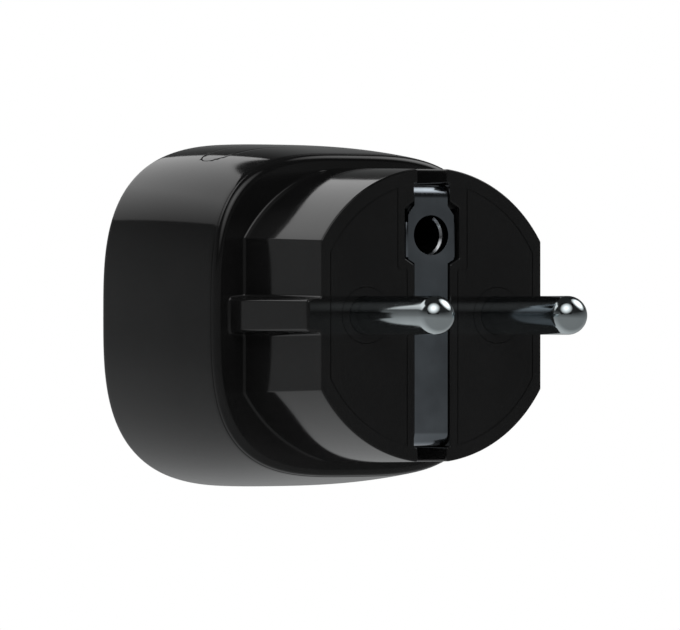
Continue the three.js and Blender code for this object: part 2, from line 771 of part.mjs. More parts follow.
const RELAY_BASE_TOP = RELAY_Y + 1.5;
const COIL_Z = -6.5;
const CORE_TOP = ARMATURE_Y - 0.35;

function relayBase() {
  const side = RELAY_WALL + 0.2;
  return box(
    [-RELAY_HALF_X + side, RELAY_Y, RELAY_Z[0] + side],
    [RELAY_HALF_X - side, RELAY_BASE_TOP, RELAY_Z[1] - side],
  );
}

function relayCoil() {
  const low = RELAY_BASE_TOP + 0.9;
  const high = CORE_TOP - 0.4;
  return revolve(
    [
      [1.4, low],
      [3.7, low],
      [3.7, low + 0.5],
      [3.1, low + 0.5],
      [3.1, high - 0.5],
      [3.7, high - 0.5],
      [3.7, high],
      [1.4, high],
      [1.4, low],
    ],
    20,
  );
}

function relayCore() {
  const footLow = RELAY_BASE_TOP + 0.15;
  const foot = box([-3.4, footLow, -11.1], [3.4, footLow + 0.6, -3.4]);
  const yoke = box([-3.4, footLow, -11.2], [3.4, CORE_TOP, -10.5]);
  const core = rod(1.2, [0, COIL_Z], footLow, CORE_TOP, SMALL_STEPS);
  return join(foot, yoke, core);
}

function relayArmature() {
  return box([-3.4, ARMATURE_Y, -11.2], [3.4, ARMATURE_Y + 0.8, -3.2]);
}

const CONTACT_Z = 2.5;
const BLADE_Y = ARMATURE_Y + 1.1;

function relayContactArm() {
  const blade = box([-1.6, BLADE_Y, -9], [1.6, BLADE_Y + 0.3, 3.8]);
  return join(blade, rod(1.2, [0, CONTACT_Z], BLADE_Y - 1, BLADE_Y + 0.1, SMALL_STEPS));
}

function relayFixedContact() {
  const faceY = BLADE_Y - 1.8;
  const button = rod(1.2, [0, CONTACT_Z], faceY - 0.7, faceY, SMALL_STEPS);
  const shelf = box([-1.6, faceY - 1.1, 0.8], [1.6, faceY - 0.6, 4.8]);
  const leg = box([-1.6, RELAY_BASE_TOP + 0.2, 4.3], [1.6, faceY - 0.6, 4.8]);
  return join(button, shelf, leg);
}

// A can along Y, standing on the board's rear face.
function can(radius, height, groove) {
  const low = BOARD_BACK_Y + GAP;
  const high = low + height;
  return revolve(
    [
      [0, low],
      [radius, low],
      [radius, low + groove],
      [radius - 0.3, low + groove + 0.3],
      [radius, low + groove + 0.6],
      [radius, high - 0.3],
      [radius - 0.3, high],
      [0, high],
    ],
    20,
  );
}

function inductor() {
  const low = BOARD_BACK_Y + GAP;
  return revolve(
    [
      [0, low],
      [3, low],
      [3, low + 1],
      [2.2, low + 1],
      [2.2, low + 5.5],
      [3, low + 5.5],
      [3, low + 6.5],
      [0, low + 6.5],
    ],
    20,
  );
}

function onBoard(low, high, height) {
  const y = BOARD_BACK_Y + GAP;
  return box([low[0], y, low[1]], [high[0], y + height, high[1]]);
}

function antenna() {
  const path = outlineOf([
    [0, 0],
    [6, 0],
    [6, 2.6],
    [4, 2.6],
    [4, 0.7],
    [2.7, 0.7],
    [2.7, 2.6],
    [2, 2.6],
    [2, 0.7],
    [0, 0.7],
  ]);
  return extrudeAlongY(path, 0, 0.3);
}

// ---- Assembly ----

const smartPlug = new THREE.Group();

function place(group, name, shape, look, position = [0, 0, 0]) {
  const mesh = new THREE.Mesh(geometryOf(shape), look);
  mesh.name = name;
  mesh.position.set(...position);
  group.add(mesh);
  return mesh;
}

function subAssembly() {
  const group = new THREE.Group();
  smartPlug.add(group);
  return group;
}

const sides = [
  ["line", PIN_X],
  ["neutral", -PIN_X],
];

const housing = subAssembly();
place(housing, "front_shell", frontShell(), finish.housing);
place(housing, "rear_cover", rearCover(), finish.cover);
place(housing, "function_button", functionButton(), finish.housing);
cornerPlaces.forEach(([x, z], i) => {
  const position = [x, FLOOR_BACK_Y + 0.2, z];
  place(housing, `housing_screw_${i + 1}`, screw(1.2, 0.8, 0.6, 6), finish.steel, position);
});

const plug = subAssembly();
for (const [side, x] of sides) {
  place(plug, `plug_pin_${side}`, plugPin(), finish.nickel, [x, 0, 0]);
  place(plug, `pin_collar_${side}`, pinCollar(), finish.cover, [x, 0, 0]);
  place(plug, `power_link_${side}`, powerLink(), finish.copper, [x, 0, 0]);
}
place(plug, "pin_carrier", pinCarrier(), finish.insulator);
place(plug, "earth_strap", earthStrap(), finish.steel);
place(plug, "earth_pin_socket", earthPinSocket(), finish.spring, [0, 0, EARTH_Z]);
place(plug, "earth_link", box([-1.5, BOARD_Y - 0.1, 13.3], [1.5, -12, 13.8]), finish.copper);

const socket = subAssembly();
place(socket, "socket_cup", socketCup(), finish.socket);
place(socket, "light_ring", lightRing(), finish.light);
place(socket, "safety_shutter", safetyShutter(), finish.shutter);
const springPlace = [0, (SHUTTER_Y[1] + COVER_Y[0]) / 2, 0];
place(socket, "shutter_spring", shutterSpring(), finish.spring, springPlace);
place(socket, "shutter_cover", shutterCover(), finish.shutter);
place(socket, "socket_earth_spring", socketEarthSpring(), finish.spring);
for (const [side, x] of sides) {
  place(socket, `contact_sleeve_${side}`, contactSleeve(), finish.brass, [x, 0, 0]);
}

const electronics = subAssembly();
place(electronics, "main_board", mainBoard(), finish.board);
BOARD_SCREWS.forEach(([x, z], i) => {
  const position = [x, BOARD_BACK_Y + 0.1, z];
  place(electronics, `board_screw_${i + 1}`, screw(1.4, 1, 0.55, 4), finish.steel, position);
});
place(electronics, "capacitor_1", can(2.5, 11, 9), finish.capacitor, [9.3, 0, -8.3]);
place(electronics, "capacitor_2", can(2.5, 9, 7), finish.capacitor, [-9.3, 0, -8.3]);
place(electronics, "power_inductor", inductor(), finish.ferrite, [9.3, 0, 8.3]);
const varistorPlace = [8.8, BOARD_Y - GAP, -15.2];
place(electronics, "varistor", rod(2.5, [0, 0], -2.4, 0), finish.ceramic, varistorPlace);
place(electronics, "fuse", onBoard([-4, -17.6], [4, -15.9], 1.5), finish.insulator);
place(electronics, "shunt_resistor", onBoard([13.7, -7.4], [16.6, -2.2], 0.8), finish.copper);
place(electronics, "metering_chip", onBoard([-17, -7.4], [-13.7, -2.4], 1.4), finish.chip);
place(electronics, "power_chip", onBoard([13.6, 4], [17, 8.2], 1.4), finish.chip);
place(electronics, "radio_board", onBoard([-16.2, 4.2], [-5.6, 7.9], 0.8), finish.board);
place(
  electronics,
  "radio_shield",
  box([-12.6, BOARD_BACK_Y + 1.4, 4.5], [-6.4, BOARD_BACK_Y + 3.2, 7.6]),
  finish.steel,
);
place(electronics, "antenna", antenna(), finish.copper, [-14.5, BOARD_BACK_Y + GAP, 13]);
place(electronics, "switch_body", switchBody(), finish.chip);
place(electronics, "switch_plunger", switchPlunger(), finish.insulator);
[0, Math.PI].forEach((turn, i) => {
  const [x, z] = polar(20.4, LIGHT_LEG_ANGLE + turn);
  const lamp = box([-0.5, -0.7, -0.5], [0.5, 0, 0.5]);
  place(electronics, `status_lamp_${i + 1}`, lamp, finish.lamp, [x, BOARD_Y - GAP, z]);
});

const relay = subAssembly();
place(relay, "relay_base", relayBase(), finish.insulator);
place(relay, "relay_case", relayCase(), finish.relay);
place(relay, "relay_coil", relayCoil(), finish.copper, [0, 0, COIL_Z]);
place(relay, "relay_core", relayCore(), finish.iron);
place(relay, "relay_armature", relayArmature(), finish.iron);
place(relay, "relay_contact_arm", relayContactArm(), finish.brass);
place(relay, "relay_fixed_contact", relayFixedContact(), finish.brass);

export default smartPlug;
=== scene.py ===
import json
import math

import bmesh
import bpy
import numpy as np
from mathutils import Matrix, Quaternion, Vector


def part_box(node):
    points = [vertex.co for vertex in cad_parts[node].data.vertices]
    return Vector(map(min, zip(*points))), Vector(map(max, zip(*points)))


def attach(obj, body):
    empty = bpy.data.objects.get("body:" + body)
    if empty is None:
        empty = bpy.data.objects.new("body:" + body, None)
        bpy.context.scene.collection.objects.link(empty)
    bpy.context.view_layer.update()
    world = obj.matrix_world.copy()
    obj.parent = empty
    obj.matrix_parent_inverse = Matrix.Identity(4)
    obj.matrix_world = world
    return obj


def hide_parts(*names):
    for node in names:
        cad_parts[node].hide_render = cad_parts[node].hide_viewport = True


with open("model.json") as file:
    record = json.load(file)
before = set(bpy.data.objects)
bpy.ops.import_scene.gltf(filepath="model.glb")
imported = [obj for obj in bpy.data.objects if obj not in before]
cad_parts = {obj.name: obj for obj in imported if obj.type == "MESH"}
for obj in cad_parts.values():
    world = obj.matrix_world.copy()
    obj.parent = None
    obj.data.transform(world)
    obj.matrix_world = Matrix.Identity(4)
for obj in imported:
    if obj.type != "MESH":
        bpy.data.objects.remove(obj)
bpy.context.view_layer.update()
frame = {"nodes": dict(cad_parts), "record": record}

scene = bpy.context.scene
MM = 0.001  # shapes are worked out in millimetres and made in metres

# ---- Sizes, read from the frame or fixed by the design ----


def cad_mm(node):
    """The lowest and highest corner of a CAD node, in millimetres."""
    low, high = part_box(node)
    return np.array(low) / MM, np.array(high) / MM


shell_low, shell_high = cad_mm("front_shell")
cover_low, cover_high = cad_mm("rear_cover")
pin_low, pin_high = cad_mm("plug_pin_line")
cup_low, cup_high = cad_mm("socket_cup")
ring_low = cad_mm("light_ring")[0]
strap_low, strap_high = cad_mm("earth_strap")
button_low, button_high = cad_mm("function_button")

FRONT_Y = shell_low[1]
SEAM_Y = shell_high[1]
REST_Y = SEAM_Y + 1.0
FRONT_HALF = shell_high[0]
SIDE_CURVE = 0.00245
FRONT_EXPONENT = 3.055
SEAM_EXPONENT = 3.26
FRONT_EDGE = 1.6
FRONT_WALL = 1.6
CAVITY_HALF = 20.5
SEAM_WALL = 1.2
COVER_HALF = cover_high[0]

PIN_X = (pin_low[0] + pin_high[0]) / 2
PIN_RADIUS = 2.4
PIN_TIP_Y = pin_high[1]
COLLAR_RADIUS = 3.47

BOSS_RADIUS = 18.4
BOSS_DRAFT = 0.5
BOSS_FLAT = 15.9
FLAT_DRAFT = 0.3
RIB_REACH = 17.9
RIB_DRAFT = 0.5
RIB_HALF = 1.95
RIB_ROOT_HALF = 2.15
RIB_WIDENING = 0.15  # how much wider a rib's half is at the foot of the boss
RIB_ROOT_WIDENING = 0.2
END_WALL = 1.8
BOSS_BORE = 16.6
BOSS_BORE_FLAT = 14.1
GAP = 0.2  # beside the strap in its channel, and round the cover's skirt in the housing
CLEAR = 25  # reaches past every side of the plug, for the ends of cutting shapes

CUP_RADIUS = cup_high[0]
SOCKET_RADIUS = 19.5
SOCKET_FLAT = 17.1
SOCKET_GROOVE = 18.8
SOCKET_GROOVE_HALF = 3.1
FLOOR_Y = FRONT_Y + 17.5
FLOOR_BACK_Y = FLOOR_Y + 1.6
CONTACT_HOLE = 3.0
CONTACT_DISH = 3.75
SHUTTER_WALL = 14.9
SHUTTER_ROOM = 13.9
HUB_RADIUS = 1.35

STRAP_HALF = 2.4
STRAP_THICKNESS = 0.5
STRAP_FACE_Y = strap_high[1]
STRAP_REACH = strap_high[2]
STRAP_END_Y = strap_low[1]
EARTH_Z = 10.0
EARTH_HOLE = 2.5
EARTH_RECESS = 3.3
CHANNEL_HALF = STRAP_HALF + GAP
CHANNEL_WIDE_HALF = 3.95  # beside the earth pin's hole
CHANNEL_LIP_HALF = 2.1

BUTTON_Y = -32.7
BUTTON_LENGTH = button_high[0] - button_low[0]
BUTTON_WIDTH = 5.6
BUTTON_THICKNESS = 0.85
BUTTON_SIDE_X = 12.7

OUTLINE_STEPS = 256
ROUND_STEPS = 96


# ---- Mesh tools: all points are in millimetres ----


def new_object(name, points, faces):
    mesh = bpy.data.meshes.new(name)
    mesh.from_pydata((np.asarray(points, float) * MM).tolist(), [], faces)
    obj = bpy.data.objects.new(name, mesh)
    scene.collection.objects.link(obj)
    work = bmesh.new()
    work.from_mesh(mesh)
    bmesh.ops.recalc_face_normals(work, faces=work.faces)
    work.to_mesh(mesh)
    work.free()
    return obj


def loft(name, rings, closed=False):
    """Joins rings of equally many points, with end faces unless the last ring joins the first."""
    count = len(rings[0])
    faces = []
    for ring in range(len(rings) if closed else len(rings) - 1):
        low = ring * count
        high = (ring + 1) % len(rings) * count
        for i in range(count):
            j = (i + 1) % count
            faces.append((low + i, low + j, high + j, high + i))
    if not closed:
        faces.append(tuple(range(count)))
        faces.append(tuple(range((len(rings) - 1) * count, len(rings) * count)))
    return new_object(name, np.concatenate(rings), faces)


def box(name, low, high):
    x, y, z = zip(low, high)
    ring = [[x[0], z[0]], [x[1], z[0]], [x[1], z[1]], [x[0], z[1]]]
    return loft(name, [at_level(ring, y[0]), at_level(ring, y[1])])


def at_level(outline, y):
    """An outline drawn in (x, z), in the plane y."""
    flat = np.asarray(outline, float)
    return np.column_stack([flat[:, 0], np.full(len(flat), y), flat[:, 1]])


def circle(radius, centre=(0, 0), steps=ROUND_STEPS):
    angle = np.arange(steps) / steps * 2 * math.pi
    return np.column_stack([centre[0] + radius * np.cos(angle), centre[1] + radius * np.sin(angle)])


def rod(name, radius, centre, y_low, y_high, steps=ROUND_STEPS):
    ring = circle(radius, centre, steps)
    return loft(name, [at_level(ring, y_low), at_level(ring, y_high)])


def revolve(name, profile, centre=(0, 0), steps=ROUND_STEPS, closed=False):
    """Turns a profile of (radius, y) points about an axis along Y."""
    rings = [at_level(circle(max(radius, 0.001), centre, steps), y) for radius, y in profile]
    return loft(name, rings, closed)


def finished(obj):
    """Applies the object's modifiers to its mesh."""
    graph = bpy.context.evaluated_depsgraph_get()
    graph.update()
    mesh = bpy.data.meshes.new_from_object(obj.evaluated_get(graph))
    obj.modifiers.clear()
    obj.data = mesh
    return obj


def combine(obj, others, operation):
    """Joins other solids to obj, or cuts them from it, and removes them."""
    for other in others:
        modifier = obj.modifiers.new("combine", "BOOLEAN")
        modifier.operation = operation
        modifier.solver = "MANIFOLD"
        modifier.object = other
        finished(obj)
        bpy.data.objects.remove(other)
    return obj


def join(obj, *others):
    return combine(obj, others, "UNION")


def cut(obj, *others):
    return combine(obj, others, "DIFFERENCE")


def round_edges(obj, width, segments=2, angle=40):
    modifier = obj.modifiers.new("edges", "BEVEL")
    modifier.width = width * MM
    modifier.segments = segments
    modifier.limit_method = "ANGLE"
    modifier.angle_limit = math.radians(angle)
    modifier.miter_outer = "MITER_ARC"
    return finished(obj)


def smooth(obj, angle=32):
    obj.data.shade_smooth()
    obj.data.set_sharp_from_angle(angle=math.radians(angle))
    modifier = obj.modifiers.new("normals", "WEIGHTED_NORMAL")
    modifier.mode = "FACE_AREA"
    modifier.weight = 60
    modifier.keep_sharp = True
    return finished(obj)


def filleted(corners, steps=5):
    """An outline from (x, z, radius) corners, each rounded by an arc of its radius."""
    points = np.array([corner[:2] for corner in corners], float)
    outline = []
    for i, (x, z, radius) in enumerate(corners):
        if radius == 0:
            outline.append((x, z))
            continue
        here = points[i]
        into = here - points[i - 1]
        out = points[(i + 1) % len(points)] - here
        into /= np.linalg.norm(into)
        out /= np.linalg.norm(out)
        turn = math.atan2(into[0] * out[1] - into[1] * out[0], into @ out)
        reach = radius * math.tan(abs(turn) / 2)
        side = math.copysign(1, turn)
        centre = here - into * reach + side * radius * np.array([-into[1], into[0]])
        start = here - into * reach - centre
        for step in range(steps + 1):
            angle = turn * step / steps
            c, s = math.cos(angle), math.sin(angle)
            turned = [c * start[0] - s * start[1], s * start[0] + c * start[1]]
            outline.append(tuple(centre + turned))
    return np.array(outline)


def grown(outline, distance):
    """Moves an outline, drawn anticlockwise, outwards by one distance or one for each point."""
    def normal(edge):
        edge = edge / np.linalg.norm(edge, axis=1, keepdims=True)
        return np.column_stack([edge[:, 1], -edge[:, 0]])

    before = normal(outline - np.roll(outline, 1, axis=0))
    after = normal(np.roll(outline, -1, axis=0) - outline)
    middle = before + after
    middle /= np.linalg.norm(middle, axis=1, keepdims=True)
    stretch = 1 / np.maximum((middle * before).sum(axis=1), 0.6)
    return outline + distance * (stretch[:, None] * middle)


def quarter(steps):
    """Sine and cosine along a quarter turn."""
    return [(math.sin(a), math.cos(a)) for a in np.linspace(0, math.pi / 2, steps + 1)]


# ---- Housing ----


def half_at(y):
    return FRONT_HALF - SIDE_CURVE * (y - FRONT_Y) ** 2


def exponent_at(y):
    return FRONT_EXPONENT + (SEAM_EXPONENT - FRONT_EXPONENT) * (y - FRONT_Y) / (SEAM_Y - FRONT_Y)


def squircle(half, exponent, steps=OUTLINE_STEPS):
    angle = np.arange(steps) / steps * 2 * math.pi
    x, z = np.cos(angle), np.sin(angle)
    reach = half * (np.abs(x) ** exponent + np.abs(z) ** exponent) ** (-1 / exponent)
    return np.column_stack([reach * x, reach * z])


def housing_side(y_low, y_high, steps, inset=0.0):
    return [
        at_level(squircle(half_at(y) - inset, exponent_at(y)), y)
        for y in np.linspace(y_low, y_high, steps)
    ]


def housing_front_edge(steps=8):
    """The rounded edge from the flat rim to the side."""
    rings = []
    for sine, cosine in quarter(steps):
        y = FRONT_Y + FRONT_EDGE * (1 - cosine)
        rings.append(at_level(squircle(half_at(y) - FRONT_EDGE * (1 - sine), exponent_at(y)), y))
    return rings


def housing_block(name, lowered=0.0):
    rings = housing_front_edge() + housing_side(FRONT_Y + FRONT_EDGE, SEAM_Y, 40)[1:]
    return loft(name, [ring - [0, 0, lowered] for ring in rings])


def seam_rim(half, y, radius, steps):
    """A rounded edge of the seam's outline, from the side to the face at y."""
    return [
        at_level(squircle(half - radius * (1 - cosine), SEAM_EXPONENT), y - radius * (1 - sine))
        for sine, cosine in quarter(steps)
    ]


def button_outline(spare):
    half = BUTTON_WIDTH / 2 + spare
    straight = (BUTTON_LENGTH - BUTTON_WIDTH) / 2
    right = np.linspace(-math.pi / 2, math.pi / 2, 33)
    left = right + math.pi
    return [(straight + half * math.cos(a), BUTTON_Y + half * math.sin(a)) for a in right] + [
        (-straight + half * math.cos(a), BUTTON_Y + half * math.sin(a)) for a in left
    ]


def button_prism(name, spare):
    """The button's outline, drawn out upwards from inside the housing to above its top."""
    low, high = 17.2, FRONT_HALF + 2
    rings = [np.array([(x, y, z) for x, y in button_outline(spare)]) for z in (low, high)]
    return loft(name, rings)


def front_shell():
    mouth = circle(CUP_RADIUS + 0.2, steps=OUTLINE_STEPS)
    small = 0.1
    mouth_edge = [
        at_level(grown(mouth, small * (1 - sine)), FRONT_Y + small * (1 - cosine))
        for sine, cosine in quarter(3)
    ]
    seam_inner = squircle(half_at(SEAM_Y) - SEAM_WALL, SEAM_EXPONENT)
    floor_inner = squircle(CAVITY_HALF, exponent_at(FLOOR_BACK_Y))
    front_inner = squircle(CAVITY_HALF, FRONT_EXPONENT)
    seam_edge = seam_rim(half_at(SEAM_Y), SEAM_Y, small, 3)
    rings = [
        *mouth_edge[::-1][:1],
        at_level(mouth, FRONT_Y + FRONT_WALL),
        at_level(front_inner, FRONT_Y + FRONT_WALL),
        at_level(floor_inner, FLOOR_BACK_Y),
        at_level(seam_inner, SEAM_Y),
        *seam_edge[::-1],
        *housing_side(SEAM_Y - small, FRONT_Y + FRONT_EDGE, 48)[1:],
        *housing_front_edge()[::-1][1:],
        *mouth_edge[:-1],
    ]
    shell = loft("housing_shell", rings, closed=True)
    button_gap = 0.12
    cut(shell, button_prism("button_hole", button_gap))
    return smooth(round_edges(shell, 0.06, segments=2, angle=45))


def function_button():
    cap = button_prism("button_cap", 0.0)
    combine(cap, [housing_block("outer")], "INTERSECT")
    cut(cap, housing_block("lowered", BUTTON_THICKNESS))
    round_edges(cap, 0.12, segments=3)
    arm_low, arm_high, leg_high = 16.85, 17.95, 19.85
    half, leg_reach, arm_reach = 0.9, 1.5, 1.4
    for x in (BUTTON_SIDE_X, -BUTTON_SIDE_X):
        low = (x - half, BUTTON_Y - leg_reach, arm_low)
        join(cap, box("leg", low, (x + half, BUTTON_Y + leg_reach, leg_high)))
    low = (BUTTON_SIDE_X - half, BUTTON_Y - arm_reach, arm_low)
    join(cap, box("arm", low, (BUTTON_SIDE_X + half, button_high[1], arm_high)))
    return smooth(cap)


# ---- Rear cover with the plug boss ----


def boss_half_outline(side, share):
    """One half of the boss, beside the channel. share is 0 at the end face and 1 at the base."""
    radius = BOSS_RADIUS + BOSS_DRAFT * share
    flat = BOSS_FLAT + FLAT_DRAFT * share
    rib = RIB_REACH + RIB_DRAFT * share
    channel, wide, lip = CHANNEL_HALF, CHANNEL_WIDE_HALF, CHANNEL_LIP_HALF
    lip_z = STRAP_REACH + 0.15
    low = -math.acos(lip / radius)
    corner = -math.acos(flat / radius)
    arc = [(radius * math.cos(a), radius * math.sin(a)) for a in np.linspace(low, corner, 40)]
    lower = [(*arc[0], 0.25), *[(*p, 0) for p in arc[1:-1]], (*arc[-1], 0.3)]
    upper = [(x, -z, radius) for x, z, radius in lower[::-1]]
    rib_half = RIB_HALF + RIB_WIDENING * share
    root_half = RIB_ROOT_HALF + RIB_ROOT_WIDENING * share
    side_rib = [
        (flat, -root_half, 0.45),
        (rib, -rib_half, 0.4),
        (rib, rib_half, 0.4),
        (flat, root_half, 0.45),
    ]
    channel_wall = [
        (lip, lip_z, 0.25),
        (channel, lip_z, 0.2),
        (channel, 14.2, 0.3),
        (wide, 13.4, 0.3),
        (wide, 7.1, 0.3),
        (channel, 6.3, 0.3),
        (channel, -lip_z, 0.2),
        (lip, -lip_z, 0.25),
    ]
    outline = filleted([*lower, *side_rib, *upper, *channel_wall])
    if side < 0:
        outline = (outline * [-1, 1])[::-1]
    return outline


def boss_half(side):
    """One half of the boss, with a rounded edge at its end face and a fillet at its base."""
    face, base = boss_half_outline(side, 0), boss_half_outline(side, 1)

    def level(y):
        share = y / REST_Y
        return face * (1 - share) + base * share

    on_rib = np.clip((np.abs(face[:, :1]) - BOSS_FLAT) / 0.4, 0, 1)
    edge = 0.2 + 0.15 * on_rib  # how far the edge of the end face is rounded
    edge_y = edge[:, 0]
    fillet = 0.4
    fillet_start, fillet_run = 4.3, 1.2
    spread = np.clip((np.abs(base[:, :1]) - fillet_start) / fillet_run, 0, 1)  # none at the channel
    rings = [
        at_level(grown(level(0), -edge * (1 - sine)), -edge_y * (1 - cosine))
        for sine, cosine in quarter(4)
    ]
    side_start = -0.5
    rings += [at_level(level(y), y) for y in np.linspace(side_start, REST_Y + fillet, 14)]
    rings += [
        at_level(grown(base, fillet * spread * (1 - cosine)), REST_Y + fillet * (1 - sine))
        for sine, cosine in quarter(5)[1:]
    ]
    rings.append(at_level(grown(base, fillet * spread), REST_Y - 0.3))
    return loft(f"boss_half_{side}", rings)


def contour_groove(side):
    """The fine groove that follows each half of the end face."""
    wall, width, depth = 1.0, 0.14, 0.1
    arc_inset, flat_inset = 1.75, 1.2
    radius = BOSS_RADIUS - arc_inset
    flat = BOSS_FLAT - flat_inset
    channel = CHANNEL_HALF + wall
    wide = CHANNEL_WIDE_HALF + wall
    jog_low = 5.8
    start = -math.acos(channel / radius)
    corner = -math.acos(flat / radius)
    lower = [
        (radius * math.cos(a), radius * math.sin(a), 0) for a in np.linspace(start, corner, 30)
    ]
    top = math.acos(wide / radius)
    upper = [
        (radius * math.cos(a), radius * math.sin(a), 0) for a in np.linspace(-corner, top, 30)
    ]
    inner = [(wide, jog_low, 0.3), (channel, jog_low, 0.3)]
    outline = filleted([*lower, *upper, *inner])
    if side < 0:
        outline = (outline * [-1, 1])[::-1]
    narrow = grown(outline, -width)
    above = 0.2
    rings = [
        at_level(outline, -depth),
        at_level(outline, above),
        at_level(narrow, above),
        at_level(narrow, -depth),
    ]
    return loft("groove", rings, closed=True)


def rear_cover():
    """The back plate, its skirt in the housing, and the hollow boss with the strap's channels."""
    edge = 0.95
    rim = seam_rim(COVER_HALF, REST_Y, edge, 8)
    skirt = squircle(half_at(SEAM_Y) - SEAM_WALL - GAP, SEAM_EXPONENT)
    skirt_rings = [at_level(skirt, cover_low[1]), at_level(skirt, REST_Y - edge)]
    cover = loft("plug_cover", [*skirt_rings, *rim])
    join(cover, boss_half(1), boss_half(-1))
    sunk = 0.2  # how far the boss reaches into the plate
    core_half, core_reach = 4.3, 15.6
    channel_floor = STRAP_FACE_Y - STRAP_THICKNESS - 0.1
    core_low = (-core_half, REST_Y - sunk, -core_reach)
    join(cover, box("core", core_low, (core_half, channel_floor, core_reach)))
    end_half, narrowing = 3.2, 0.9965
    end_ring = circle(BOSS_RADIUS + BOSS_DRAFT * 0.8, steps=OUTLINE_STEPS)
    end_rings = [at_level(end_ring, REST_Y - sunk), at_level(end_ring * narrowing, STRAP_END_Y - 1)]
    channel_end = loft("channel_end", end_rings)
    slab = box("slab", (-end_half, REST_Y - 1, -CLEAR), (end_half, 0, CLEAR))
    combine(channel_end, [slab], "INTERSECT")
    join(cover, channel_end)

    hollow = rod("hollow", BOSS_BORE, (0, 0), -24, -END_WALL, OUTLINE_STEPS)
    flats = box("flats", (-BOSS_BORE_FLAT, -CLEAR, -CLEAR), (BOSS_BORE_FLAT, 0, CLEAR))
    combine(hollow, [flats], "INTERSECT")
    wall_half, wall_z, wall_y = 3.8, 14.3, STRAP_END_Y - 2.8
    for side in (1, -1):
        low, high = sorted((side * wall_z, side * CLEAR))
        cut(hollow, box("channel_wall", (-wall_half, wall_y, low), (wall_half, 1, high)))
    plate_wall = 1.6
    underside = squircle(17.9, SEAM_EXPONENT)
    under_rings = [at_level(underside, SEAM_Y - 3), at_level(underside, REST_Y - plate_wall)]
    cut(cover, hollow, loft("underside", under_rings))
    seam, hole_end = 0.06, -4
    for x in (PIN_X, -PIN_X):
        cut(cover, rod("pin_hole", COLLAR_RADIUS + seam, (x, 0), hole_end, 1, 128))
    cut(cover, rod("earth_hole", EARTH_RECESS, (0, EARTH_Z), hole_end, 1))
    slot_inner, slot_outer, slot_low, slot_high = 3.05, 3.93, 7.12, 13.3
    for side in (1, -1):
        low, high = sorted((side * slot_inner, side * slot_outer))
        cut(cover, box("flange_slot", (low, hole_end, slot_low), (high, 0.5, slot_high)))
        cut(cover, contour_groove(side))
    return smooth(cover)


# ---- Plug pins, collars and earth strap ----


def plug_pin(name, x):
    """A round pin with a domed tip, and inside the housing a flange and a thinner tail."""
    low = pin_low[1]
    flange, flange_depth, flange_radius = -2.1, 1.1, 3
    tail, tail_edge = 1.5, 0.2
    tip = [
        (PIN_RADIUS * cosine, PIN_TIP_Y - PIN_RADIUS * (1 - sine)) for sine, cosine in quarter(16)
    ]
    profile = [
        (0, low),
        (tail - tail_edge, low),
        (tail, low + tail_edge),
        (tail, flange - flange_depth),
        (flange_radius, flange - flange_depth),
        (flange_radius, flange),
        (PIN_RADIUS, flange),
        *[(PIN_RADIUS, y) for y in np.linspace(0, PIN_TIP_Y - PIN_RADIUS - 0.2, 6)],
        *tip,
    ]
    return smooth(revolve(name, profile, (x, 0), 128), 40)


def pin_collar(name, x):
    """The flat ring a pin stands in, level with the end face."""
    inner, outer, back = PIN_RADIUS + 0.03, COLLAR_RADIUS, -1.7
    profile = [(inner, back), (outer, back), (outer, 0), (inner, 0)]
    return smooth(revolve(name, profile, (x, 0), 128, closed=True), 30)


def strip(name, path, thickness, half_width):
    """Sheet metal of that width along X, bent along a path of (y, z) points."""
    path = np.array(path, float)
    ahead = np.vstack([path[1:] - path[:-1], path[-1:] - path[-2:-1]])
    ahead /= np.linalg.norm(ahead, axis=1, keepdims=True)
    behind = np.vstack([ahead[:1], ahead[:-1]])
    along = ahead + behind
    along /= np.linalg.norm(along, axis=1, keepdims=True)
    stretch = 1 / (along * ahead).sum(axis=1, keepdims=True)
    side = np.column_stack([-along[:, 1], along[:, 0]]) * thickness / 2 * stretch
    rings = []
    for here, out in zip(path, side):
        outer, inner = here + out, here - out
        rings.append(
            np.array(
                [
                    (-half_width, *outer),
                    (half_width, *outer),
                    (half_width, *inner),
                    (-half_width, *inner),
                ]
            )
        )
    return loft(name, rings)


def bend(centre, radius, start, end, steps):
    """Points of a bend, as (y, z), between two angles in degrees."""
    angles = np.radians(np.linspace(start, end, steps + 1))
    return [(centre[0] + radius * math.cos(a), centre[1] + radius * math.sin(a)) for a in angles]


def strap_flanges(back):
    """The strap's sides, folded back beside the earth pin's hole, with the plate between them."""
    outer, low, high, radius = 3.75, 7.25, 11.6, 0.5
    end = -2.9
    inner = outer - STRAP_THICKNESS
    profile = [
        (-outer, end),
        (-inner, end),
        (-inner, back),
        (inner, back),
        (inner, end),
        (outer, end),
    ]
    profile += [
        (outer - radius * (1 - math.cos(a)), STRAP_FACE_Y - radius * (1 - math.sin(a)))
        for a in np.linspace(0, math.pi / 2, 9)
    ]
    profile += [
        (-outer + radius * (1 - math.cos(a)), STRAP_FACE_Y - radius * (1 - math.sin(a)))
        for a in np.linspace(math.pi / 2, 0, 9)
    ]
    rings = [np.array([(x, y, z) for x, y in profile]) for z in (low, high)]
    return loft("flanges", rings)


